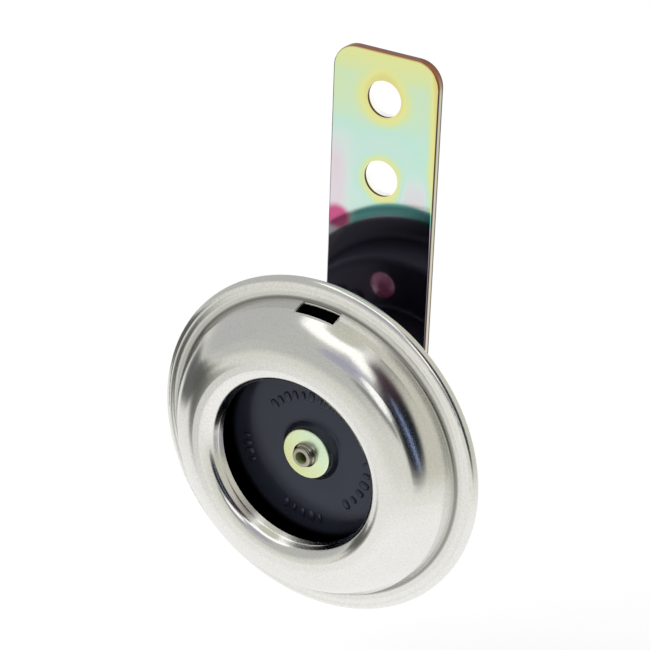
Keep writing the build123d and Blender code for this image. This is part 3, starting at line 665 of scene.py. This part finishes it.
steps = np.linalg.norm(np.diff(core_outline, axis=0), axis=1)
walked = np.concatenate([[0], np.cumsum(steps)])
stations = np.unique(np.concatenate([walked, np.arange(walked[SHOULDER], walked[-1], PITCH / 10)]))
core_radius = np.interp(stations, walked, core_outline[:, 0])[:, None]
core_forward = np.interp(stations, walked, core_outline[:, 1])[:, None]
turns = np.linspace(0, tau, STUD_AROUND, endpoint=False)
phase = (core_forward / PITCH + turns / tau) % 1.0
groove = np.clip(GROOVE_FLAT - GROOVE_SLOPE * np.abs(phase - 0.5), 0, 1)
groove = groove * (core_forward < THREAD_START)
spare = np.maximum(core_radius - ROOT_RADIUS, 0)
thread_radius = core_radius - np.minimum(THREAD_DEPTH * groove, spare)
stud_rings = np.stack([
    thread_radius * np.sin(turns),
    np.broadcast_to(RIM_BACK - core_forward, thread_radius.shape),
    AXIS_UP + thread_radius * np.cos(turns),
], axis=-1)[None]
stud = skin("threaded_stud", stud_rings, turned_finish)
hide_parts("pole_core")
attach(stud, "root")


# Coil: enamelled copper wire wound in layers on a nylon bobbin, which sits round the core. Each
# turn of the wire shows as a rounded ridge.
WIRE_THICK = 0.00035
bobbin_finish = Finish("bobbin_plastic", Subsurface_Weight=0.05)
clouds = bobbin_finish.noise(bobbin_finish.place(), 300, 3)
tone = bobbin_finish.mix(clouds, (0.74, 0.71, 0.62), (0.80, 0.78, 0.70))
bobbin_finish.feed(Base_Color=tone, Roughness=0.42 + clouds * 0.15)
bobbin_finish.relief(clouds, 0.00002)
dress(bobbin_finish, "coil_bobbin")

winding_finish = Finish("enamelled_wire", Metallic=1.0)
across_wire = winding_finish.place().axis("Y")
ridge = across_wire.math("PINGPONG", WIRE_THICK / 2) * (2 / WIRE_THICK)
# Painted shade: the copper darkens from each ridge into the groove between turns
tone = winding_finish.mix(ridge, (0.22, 0.08, 0.03), (0.68, 0.32, 0.15))
winding_finish.feed(Base_Color=tone, Roughness=0.35 - ridge * 0.1)
winding_finish.relief(ridge, WIRE_THICK / 2)
dress(winding_finish, "coil_winding")


# Contact stack and terminal plates: strips punched from spring bronze and plated steel, with
# tungsten contacts, held apart by brown phenolic board.
board_finish = Finish("pressed_board")
place = board_finish.place()
weave = board_finish.node(
    "TexWave",
    {"wave_type": "BANDS", "bands_direction": "X"},
    {"Vector": place, "Scale": 700.0, "Distortion": 3.0, "Detail": 2.0},
    output=1,
)
fibres = board_finish.noise(place, 2600, 4, 0.65)
tone = board_finish.mix(fibres, (0.16, 0.075, 0.035), (0.36, 0.19, 0.09))
board_finish.feed(Base_Color=tone, Roughness=0.46 + fibres * 0.2)
board_finish.relief(weave * 0.4 + fibres * 0.6, 0.00002)
dress(board_finish, "lower_insulator", "middle_insulator", "upper_insulator")
dress(board_finish, "outer_terminal_insulator", "inner_terminal_insulator")

bronze_finish = zinc_plate("spring_strip", (0.78, 0.56, 0.34), (0.62, 0.42, 0.24), 0.24)
strip_finish = zinc_plate("plated_strip", (0.80, 0.79, 0.72), (0.66, 0.65, 0.60), 0.25)
contact_finish = zinc_plate("contact_metal", (0.66, 0.66, 0.68), (0.50, 0.50, 0.53), 0.35)
dress(bronze_finish, "moving_contact_arm")
dress(strip_finish, "fixed_contact_arm")
dress(contact_finish, "moving_contact", "fixed_contact")


# Adjusting screw in its turned brass bush. It sets how far the contacts press, and is locked after
# setting with a drop of red lacquer.
brass_finish = zinc_plate("bush_brass", (0.84, 0.68, 0.38), (0.72, 0.55, 0.28), 0.22)
dress(brass_finish, "screw_bush")

lacquer_finish = Finish("sealing_lacquer", Coat_Weight=0.8, Coat_Roughness=0.05)
clouds = lacquer_finish.noise(lacquer_finish.place(), 900, 3)
tone = lacquer_finish.mix(clouds, (0.36, 0.09, 0.12), (0.46, 0.15, 0.18))
lacquer_finish.feed(Base_Color=tone, Roughness=0.18 + clouds * 0.15)
lacquer_finish.relief(clouds, 0.00012)
dress(lacquer_finish, "screw_seal")


# Blade terminals: tinned brass blades for push-on connectors, riveted through the board at the
# bottom of the housing.
tin_finish = zinc_plate("terminal_tin", (0.84, 0.83, 0.78), (0.72, 0.70, 0.63), 0.26)
dress(tin_finish, "left_terminal", "right_terminal")


# Leads inside the housing: stranded wire in a black plastic sleeve, from the terminals to the coil
# and to the contact stack.
sleeve_finish = Finish("lead_cover")
clouds = sleeve_finish.noise(sleeve_finish.place(), 1800, 3)
tone = sleeve_finish.mix(clouds, (0.020, 0.020, 0.022), (0.045, 0.045, 0.05))
sleeve_finish.feed(Base_Color=tone, Roughness=0.45 + clouds * 0.2)
sleeve_finish.relief(clouds, 0.00002)
dress(sleeve_finish, "live_lead", "coil_lead", "return_lead")


# Strap bracket. Steel strap punched from strip and zinc plated. The passivated film changes colour
# with its thickness: yellow near edges and holes, mint and rose on the open face, and copper on
# cut edges.
HOLES_UP = (0.008, -0.008)
HOLE_HALO = (0.0034, 0.0078)  # distances from a hole's middle between which its halo fades
RIGHT_EDGE = (0.0092, 0.0112)
TOP_END = (0.0105, 0.0175)
TOP_HALF = (-0.001, 0.011)
ROSE_LEFT_SIDE = (-0.0085, -0.0040)
ROSE_LEFT_TOP = (0.002, -0.005)
ROSE_RIGHT_SIDE = (0.0015, 0.0055)
ROSE_RIGHT_TOP = (-0.004, -0.010)
TEAL_REFLECTION_ARC = (0.0206, 0.0214)
TEAL_REFLECTION_SIDE = (-0.0085, -0.0045)
VIOLET_REFLECTION_ARC = (0.0182, 0.0192)
COPPER_UP = (0.010, 0.016)
OPEN_FILM = 0.52  # thickness on the open face, from 0 to 1
TORN_END = 0.26
BRIGHT_START = 0.36
REFLECTION_MIDDLE_RIGHT = 0.007  # middle of the arcs of painted reflection on the strap's front face
REFLECTION_MIDDLE_UP = -0.033
REFLECTION_SPOT_RIGHT = -0.0093
REFLECTION_SPOT_UP = -0.0182
REFLECTION_SPOT_HALF_WIDE = 0.0036
REFLECTION_SPOT_HALF_HIGH = 0.0030
STRAP_THICK = 0.002
ROLLED_DEPTH = 0.0000015
strap_finish = Finish("bracket_plating", Metallic=1.0, Emission_Strength=1.0)
place = strap_finish.place()
right = place.axis("X")
up = place.axis("Z")
drift = strap_finish.noise(place, 55, 3) - 0.5


def halo(hole_up):
    """1 at a hole's edge, 0 away from it: the square of a fade over the distance to its middle."""
    gap = (right ** 2.0 + (up - hole_up) ** 2.0) ** 0.5
    return strap_finish.fade(gap + drift * 0.004, *HOLE_HALO, 1.0, 0.0) ** 2.0


# The film over the open face, thin at edges and holes and thick in the rose patches
to_holes = halo(HOLES_UP[0]).math("MAXIMUM", halo(HOLES_UP[1]))
right_edge = strap_finish.fade(right + drift * 0.002, *RIGHT_EDGE)
top_end = strap_finish.fade(up + drift * 0.008, *TOP_END)
top_half = strap_finish.fade(up + drift * 0.012, *TOP_HALF)
rose_left = strap_finish.fade(right + drift * 0.012, *ROSE_LEFT_SIDE, 1.0, 0.0)
rose_left = rose_left * strap_finish.fade(up + drift * 0.02, *ROSE_LEFT_TOP)
rose_right = strap_finish.fade(right + drift * 0.01, *ROSE_RIGHT_SIDE)
rose_right = rose_right * strap_finish.fade(up + drift * 0.01, *ROSE_RIGHT_TOP)
thinned = to_holes * 0.36 + right_edge * 0.42 + top_end * 0.22 + top_half * 0.12
film = OPEN_FILM + drift * 0.5 - thinned + rose_left * 0.27 + rose_right * 0.24
tone = strap_finish.ramp(
    film,
    (
        (0.0, (0.90, 0.84, 0.34)),
        (0.16, (0.97, 0.97, 0.42)),
        (0.34, (0.84, 0.97, 0.54)),
        (OPEN_FILM, (0.66, 0.97, 0.88)),
        (0.66, (0.80, 0.94, 0.94)),
        (0.82, (0.90, 0.82, 0.92)),
        (1.0, (0.94, 0.58, 0.74)),
    ),
)

# Painted reflections of the horn: arcs of teal and violet and a magenta spot, on the front face
# alone
facing = strap_finish.node("NewGeometry", output="Normal").axis("Y")
front_face = strap_finish.fade(facing, -0.5, 0.5, 1.0, 0.0)
from_reflection_middle = ((right - REFLECTION_MIDDLE_RIGHT) ** 2.0 + (up - REFLECTION_MIDDLE_UP) ** 2.0) ** 0.5 + drift * 0.001
teal_reflection = strap_finish.fade(from_reflection_middle, *TEAL_REFLECTION_ARC, 1.0, 0.0)
teal_reflection = teal_reflection * strap_finish.fade(right, *TEAL_REFLECTION_SIDE) * front_face
violet_reflection = strap_finish.fade(from_reflection_middle + right * 0.04, *VIOLET_REFLECTION_ARC, 1.0, 0.0) * front_face
reflection_spot_wide = (right - REFLECTION_SPOT_RIGHT) / REFLECTION_SPOT_HALF_WIDE
reflection_spot_high = (up - REFLECTION_SPOT_UP) / REFLECTION_SPOT_HALF_HIGH
reflection_spot = (reflection_spot_wide ** 2.0 + reflection_spot_high ** 2.0) ** 0.5
magenta_reflection = strap_finish.fade(reflection_spot, 0.5, 1.1, 1.0, 0.0) * front_face
tone = strap_finish.mix(teal_reflection, tone, (0.22, 0.62, 0.60))
tone = strap_finish.mix(violet_reflection, tone, (0.62, 0.58, 0.78))
tone = strap_finish.mix(magenta_reflection, tone, (0.70, 0.13, 0.32))

# Cut edges, which change from the front of the sheet to its back: sheared and then torn, copper
# round the top, and bright inside the holes
depth = place.axis("Y") * (1 / STRAP_THICK) + 1.0
sheared = strap_finish.ramp(
    depth,
    (
        (0.0, (0.10, 0.05, 0.03)),
        (0.22, (0.06, 0.04, 0.03)),
        (0.34, (0.80, 0.76, 0.66)),
        (0.62, (0.74, 0.70, 0.58)),
        (0.76, (0.16, 0.12, 0.08)),
        (1.0, (0.06, 0.05, 0.04)),
    ),
)
punched = strap_finish.ramp(
    depth,
    (
        (0.0, (0.12, 0.06, 0.04)),
        (TORN_END, (0.14, 0.08, 0.05)),
        (BRIGHT_START, (0.92, 0.91, 0.88)),
        (1.0, (0.95, 0.95, 0.93)),
    ),
)
copper = strap_finish.mix(depth, (0.55, 0.16, 0.07), (0.22, 0.17, 0.13))
cut_edge = strap_finish.fade(abs(facing), 0.55, 0.9, 1.0, 0.0)
in_hole = strap_finish.fade(to_holes, 0.3, 0.6)
cut_tone = strap_finish.mix(strap_finish.fade(up, *COPPER_UP), sheared, copper)
cut_tone = strap_finish.mix(in_hole, cut_tone, punched)
tone = strap_finish.mix(cut_edge, tone, cut_tone)
# Painted highlight: the bright band inside the holes also glows, through the emission colour
painted_shine = cut_edge * in_hole * strap_finish.fade(depth, TORN_END, BRIGHT_START)
painted_glint = strap_finish.mix(painted_shine, (0.0, 0.0, 0.0), (0.40, 0.40, 0.40))
grain = strap_finish.noise(place, 5200, 2)
rolled_out = strap_finish.node("Mapping", None, {"Vector": place, "Scale": (1, 1, 0.05)})
rolled = strap_finish.noise(rolled_out, 4200, 2)
polish = 0.05 + grain * 0.03 + rolled * 0.03
strap_finish.feed(Base_Color=tone, Emission_Color=painted_glint, Roughness=polish)
strap_finish.relief(grain * 0.4 + rolled * 0.6, ROLLED_DEPTH)
dress(strap_finish, "bracket")


# Nut on the stud, turned from hexagon bar and plated yellow. With its lock washer it clamps the
# strap on the stud.
nut_finish = zinc_plate("nut_plating", (0.84, 0.80, 0.50), (0.74, 0.66, 0.36), 0.22)
dress(nut_finish, "stud_nut")
